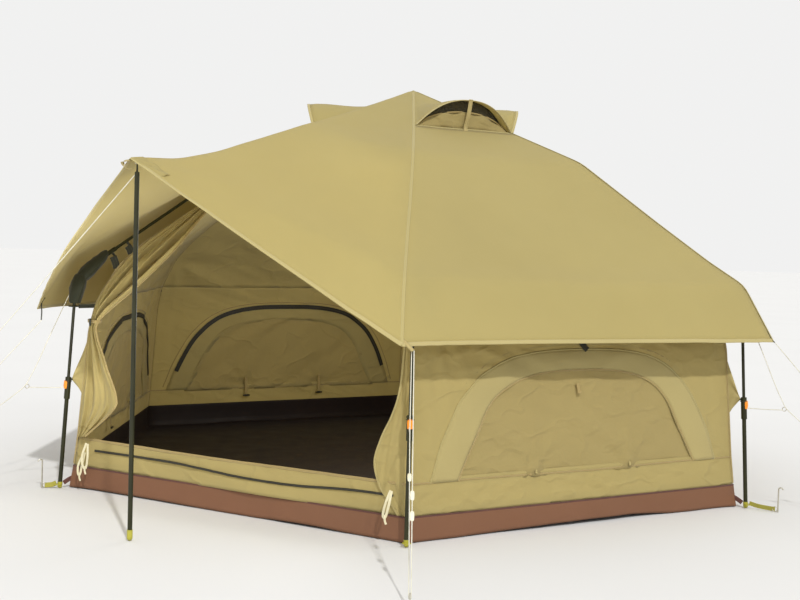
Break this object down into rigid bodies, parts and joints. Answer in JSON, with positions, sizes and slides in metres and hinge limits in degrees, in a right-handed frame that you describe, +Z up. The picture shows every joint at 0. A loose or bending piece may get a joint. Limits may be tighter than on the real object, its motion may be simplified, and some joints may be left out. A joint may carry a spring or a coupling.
{
  "type": "bell tent",
  "caption": "Hexagonal quick-pitch bell tent on a folding umbrella frame, with hung inner tent, flysheet, porch pole and guy lines.",
  "frame": {"origin": "on the ground under the hub", "axes": "+Z up, the door and porch face -Y, +X to the right seen from behind the door"},
  "size_m": [4.8334, 4.4711, 2.083],
  "materials": {
    "frame_metal": "satin olive black",
    "hub_plastic": "matte black",
    "button_plastic": "orange",
    "foot_plastic": "yellow-green",
    "fly_cloth": "coated woven polyester, sand",
    "inner_cloth": "woven polyester, sand",
    "floor_cloth": "coated oxford cloth, red-brown",
    "cord": "braided cord, off-white",
    "peg_steel": "plated wire"
  },
  "bodies": {
    "tent_fabric": {"bathtub_floor": "floor_cloth", "inner_roof": "inner_cloth", "door_flap": "inner_cloth", "flysheet": "fly_cloth", "inner_wall_front_left": "inner_cloth", "inner_wall_front_right": "inner_cloth", "inner_wall_right": "inner_cloth", "inner_wall_back_right": "inner_cloth", "inner_wall_back_left": "inner_cloth", "inner_wall_left": "inner_cloth", "tip_line_front_left": "cord", "tip_line_front_right": "cord", "tip_line_right": "cord", "bridle_front_left": "cord", "bridle_front_right": "cord", "bridle_right": "cord", "leg_stay_front_left": "cord", "leg_stay_front_right": "cord", "leg_stay_right": "cord", "guy_peg_front_left": "peg_steel", "guy_peg_front_right": "peg_steel", "guy_peg_right": "peg_steel", "porch_line": "cord", "porch_peg": "peg_steel", "foot_peg_front_left": "peg_steel", "foot_peg_right": "peg_steel"},
    "hub": {"hub": "hub_plastic"},
    "porch_pole": {"porch_pole": "frame_metal", "porch_pole_foot": "foot_plastic"},
    "upper_arm_front_left": {"upper_arm_front_left": "frame_metal"},
    "lower_arm_front_left": {"lower_arm_front_left": "frame_metal"},
    "leg_rod_front_left": {"leg_rod_front_left": "frame_metal"},
    "leg_tube_front_left": {"leg_tube_front_left": "frame_metal"},
    "leg_button_front_left": {"leg_button_front_left": "button_plastic"},
    "upper_arm_front_right": {"upper_arm_front_right": "frame_metal"},
    "lower_arm_front_right": {"lower_arm_front_right": "frame_metal"},
    "leg_rod_front_right": {"leg_rod_front_right": "frame_metal"},
    "leg_tube_front_right": {"leg_tube_front_right": "frame_metal"},
    "leg_button_front_right": {"leg_button_front_right": "button_plastic"},
    "upper_arm_right": {"upper_arm_right": "frame_metal"},
    "lower_arm_right": {"lower_arm_right": "frame_metal"},
    "leg_rod_right": {"leg_rod_right": "frame_metal"},
    "leg_tube_right": {"leg_tube_right": "frame_metal"},
    "leg_button_right": {"leg_button_right": "button_plastic"},
    "upper_arm_back_right": {"upper_arm_back_right": "frame_metal"},
    "lower_arm_back_right": {"lower_arm_back_right": "frame_metal"},
    "leg_rod_back_right": {"leg_rod_back_right": "frame_metal"},
    "leg_tube_back_right": {"leg_tube_back_right": "frame_metal"},
    "leg_button_back_right": {"leg_button_back_right": "button_plastic"},
    "upper_arm_back_left": {"upper_arm_back_left": "frame_metal"},
    "lower_arm_back_left": {"lower_arm_back_left": "frame_metal"},
    "leg_rod_back_left": {"leg_rod_back_left": "frame_metal"},
    "leg_tube_back_left": {"leg_tube_back_left": "frame_metal"},
    "leg_button_back_left": {"leg_button_back_left": "button_plastic"},
    "upper_arm_left": {"upper_arm_left": "frame_metal"},
    "lower_arm_left": {"lower_arm_left": "frame_metal"},
    "leg_rod_left": {"leg_rod_left": "frame_metal"},
    "leg_tube_left": {"leg_tube_left": "frame_metal"},
    "leg_button_left": {"leg_button_left": "button_plastic"}
  },
  "joints": [
    {"name": "hub_drop", "type": "slide", "parent": "tent_fabric", "child": "hub", "axis": [0, 0, -1], "range_m": [0, 1], "deforming": ["flysheet", "inner_roof", "bathtub_floor", "door_flap", "inner_wall_front_left", "inner_wall_front_right", "inner_wall_right", "inner_wall_back_right", "inner_wall_back_left", "inner_wall_left", "tip_line_front_left", "tip_line_front_right", "tip_line_right", "bridle_front_left", "bridle_front_right", "bridle_right", "leg_stay_front_left", "leg_stay_front_right", "leg_stay_right", "porch_line"]},
    {"name": "porch_pole_tilt", "type": "hinge", "parent": "tent_fabric", "child": "porch_pole", "pos_m": [0, -2.257, 0.012], "axis": [1, 0, 0], "range_deg": [0, 88.1]},
    {"name": "arm_fold_front_left", "type": "hinge", "parent": "hub", "child": "upper_arm_front_left", "pos_m": [-0.03, -0.05196, 2.03], "axis": [0.866, -0.5, 0], "range_deg": [0, 53.46]},
    {"name": "knee_fold_front_left", "type": "hinge", "parent": "upper_arm_front_left", "child": "lower_arm_front_left", "pos_m": [-0.5025, -0.87036, 1.655], "axis": [-0.866, 0.5, 0], "range_deg": [0, 174.11]},
    {"name": "elbow_fold_front_left", "type": "hinge", "parent": "lower_arm_front_left", "child": "leg_rod_front_left", "pos_m": [-0.9225, -1.59782, 1.03], "axis": [0.866, -0.5, 0], "range_deg": [0, 124.29]},
    {"name": "leg_slide_front_left", "type": "slide", "parent": "leg_rod_front_left", "child": "leg_tube_front_left", "axis": [0.0309, 0.0535, 0.9981], "range_m": [0, 0.42]},
    {"name": "button_press_front_left", "type": "slide", "parent": "leg_tube_front_left", "child": "leg_button_front_left", "axis": [0.499, 0.8644, -0.0618], "range_m": [0, 0.0035], "stiffness_N_per_m": 400},
    {"name": "arm_fold_front_right", "type": "hinge", "parent": "hub", "child": "upper_arm_front_right", "pos_m": [0.03, -0.05196, 2.03], "axis": [0.866, 0.5, 0], "range_deg": [0, 53.46]},
    {"name": "knee_fold_front_right", "type": "hinge", "parent": "upper_arm_front_right", "child": "lower_arm_front_right", "pos_m": [0.5025, -0.87036, 1.655], "axis": [-0.866, -0.5, 0], "range_deg": [0, 174.11]},
    {"name": "elbow_fold_front_right", "type": "hinge", "parent": "lower_arm_front_right", "child": "leg_rod_front_right", "pos_m": [0.9225, -1.59782, 1.03], "axis": [0.866, 0.5, 0], "range_deg": [0, 124.29]},
    {"name": "leg_slide_front_right", "type": "slide", "parent": "leg_rod_front_right", "child": "leg_tube_front_right", "axis": [-0.0309, 0.0535, 0.9981], "range_m": [0, 0.42]},
    {"name": "button_press_front_right", "type": "slide", "parent": "leg_tube_front_right", "child": "leg_button_front_right", "axis": [-0.499, 0.8644, -0.0618], "range_m": [0, 0.0035], "stiffness_N_per_m": 400},
    {"name": "arm_fold_right", "type": "hinge", "parent": "hub", "child": "upper_arm_right", "pos_m": [0.06, 0, 2.03], "axis": [0, 1, 0], "range_deg": [0, 53.46]},
    {"name": "knee_fold_right", "type": "hinge", "parent": "upper_arm_right", "child": "lower_arm_right", "pos_m": [1.005, 0, 1.655], "axis": [0, -1, 0], "range_deg": [0, 174.11]},
    {"name": "elbow_fold_right", "type": "hinge", "parent": "lower_arm_right", "child": "leg_rod_right", "pos_m": [1.845, 0, 1.03], "axis": [0, 1, 0], "range_deg": [0, 124.29]},
    {"name": "leg_slide_right", "type": "slide", "parent": "leg_rod_right", "child": "leg_tube_right", "axis": [-0.0618, 0, 0.9981], "range_m": [0, 0.42]},
    {"name": "button_press_right", "type": "slide", "parent": "leg_tube_right", "child": "leg_button_right", "axis": [-0.9981, 0, -0.0618], "range_m": [0, 0.0035], "stiffness_N_per_m": 400},
    {"name": "arm_fold_back_right", "type": "hinge", "parent": "hub", "child": "upper_arm_back_right", "pos_m": [0.03, 0.05196, 2.03], "axis": [-0.866, 0.5, 0], "range_deg": [0, 53.46]},
    {"name": "knee_fold_back_right", "type": "hinge", "parent": "upper_arm_back_right", "child": "lower_arm_back_right", "pos_m": [0.5025, 0.87036, 1.655], "axis": [0.866, -0.5, 0], "range_deg": [0, 174.11]},
    {"name": "elbow_fold_back_right", "type": "hinge", "parent": "lower_arm_back_right", "child": "leg_rod_back_right", "pos_m": [0.9225, 1.59782, 1.03], "axis": [-0.866, 0.5, 0], "range_deg": [0, 124.29]},
    {"name": "leg_slide_back_right", "type": "slide", "parent": "leg_rod_back_right", "child": "leg_tube_back_right", "axis": [-0.0309, -0.0535, 0.9981], "range_m": [0, 0.42]},
    {"name": "button_press_back_right", "type": "slide", "parent": "leg_tube_back_right", "child": "leg_button_back_right", "axis": [-0.499, -0.8644, -0.0618], "range_m": [0, 0.0035], "stiffness_N_per_m": 400},
    {"name": "arm_fold_back_left", "type": "hinge", "parent": "hub", "child": "upper_arm_back_left", "pos_m": [-0.03, 0.05196, 2.03], "axis": [-0.866, -0.5, 0], "range_deg": [0, 53.46]},
    {"name": "knee_fold_back_left", "type": "hinge", "parent": "upper_arm_back_left", "child": "lower_arm_back_left", "pos_m": [-0.5025, 0.87036, 1.655], "axis": [0.866, 0.5, 0], "range_deg": [0, 174.11]},
    {"name": "elbow_fold_back_left", "type": "hinge", "parent": "lower_arm_back_left", "child": "leg_rod_back_left", "pos_m": [-0.9225, 1.59782, 1.03], "axis": [-0.866, -0.5, 0], "range_deg": [0, 124.29]},
    {"name": "leg_slide_back_left", "type": "slide", "parent": "leg_rod_back_left", "child": "leg_tube_back_left", "axis": [0.0309, -0.0535, 0.9981], "range_m": [0, 0.42]},
    {"name": "button_press_back_left", "type": "slide", "parent": "leg_tube_back_left", "child": "leg_button_back_left", "axis": [0.499, -0.8644, -0.0618], "range_m": [0, 0.0035], "stiffness_N_per_m": 400},
    {"name": "arm_fold_left", "type": "hinge", "parent": "hub", "child": "upper_arm_left", "pos_m": [-0.06, 0, 2.03], "axis": [0, -1, 0], "range_deg": [0, 53.46]},
    {"name": "knee_fold_left", "type": "hinge", "parent": "upper_arm_left", "child": "lower_arm_left", "pos_m": [-1.005, 0, 1.655], "axis": [0, 1, 0], "range_deg": [0, 174.11]},
    {"name": "elbow_fold_left", "type": "hinge", "parent": "lower_arm_left", "child": "leg_rod_left", "pos_m": [-1.845, 0, 1.03], "axis": [0, -1, 0], "range_deg": [0, 124.29]},
    {"name": "leg_slide_left", "type": "slide", "parent": "leg_rod_left", "child": "leg_tube_left", "axis": [0.0618, 0, 0.9981], "range_m": [0, 0.42]},
    {"name": "button_press_left", "type": "slide", "parent": "leg_tube_left", "child": "leg_button_left", "axis": [0.9981, 0, -0.0618], "range_m": [0, 0.0035], "stiffness_N_per_m": 400}
  ],
  "couplings": [
    {"joint": "porch_pole_tilt", "follows": "hub_drop", "rad_per_m": 1.5359},
    {"joint": "arm_fold_front_left", "follows": "hub_drop", "rad_per_m": 0.93123},
    {"joint": "knee_fold_front_left", "follows": "hub_drop", "rad_per_m": 3.037},
    {"joint": "elbow_fold_front_left", "follows": "hub_drop", "rad_per_m": 2.1676},
    {"joint": "arm_fold_front_right", "follows": "hub_drop", "rad_per_m": 0.93123},
    {"joint": "knee_fold_front_right", "follows": "hub_drop", "rad_per_m": 3.037},
    {"joint": "elbow_fold_front_right", "follows": "hub_drop", "rad_per_m": 2.1676},
    {"joint": "arm_fold_right", "follows": "hub_drop", "rad_per_m": 0.93123},
    {"joint": "knee_fold_right", "follows": "hub_drop", "rad_per_m": 3.037},
    {"joint": "elbow_fold_right", "follows": "hub_drop", "rad_per_m": 2.1676},
    {"joint": "arm_fold_back_right", "follows": "hub_drop", "rad_per_m": 0.93123},
    {"joint": "knee_fold_back_right", "follows": "hub_drop", "rad_per_m": 3.037},
    {"joint": "elbow_fold_back_right", "follows": "hub_drop", "rad_per_m": 2.1676},
    {"joint": "arm_fold_back_left", "follows": "hub_drop", "rad_per_m": 0.93123},
    {"joint": "knee_fold_back_left", "follows": "hub_drop", "rad_per_m": 3.037},
    {"joint": "elbow_fold_back_left", "follows": "hub_drop", "rad_per_m": 2.1676},
    {"joint": "arm_fold_left", "follows": "hub_drop", "rad_per_m": 0.93123},
    {"joint": "knee_fold_left", "follows": "hub_drop", "rad_per_m": 3.037},
    {"joint": "elbow_fold_left", "follows": "hub_drop", "rad_per_m": 2.1676}
  ]
}
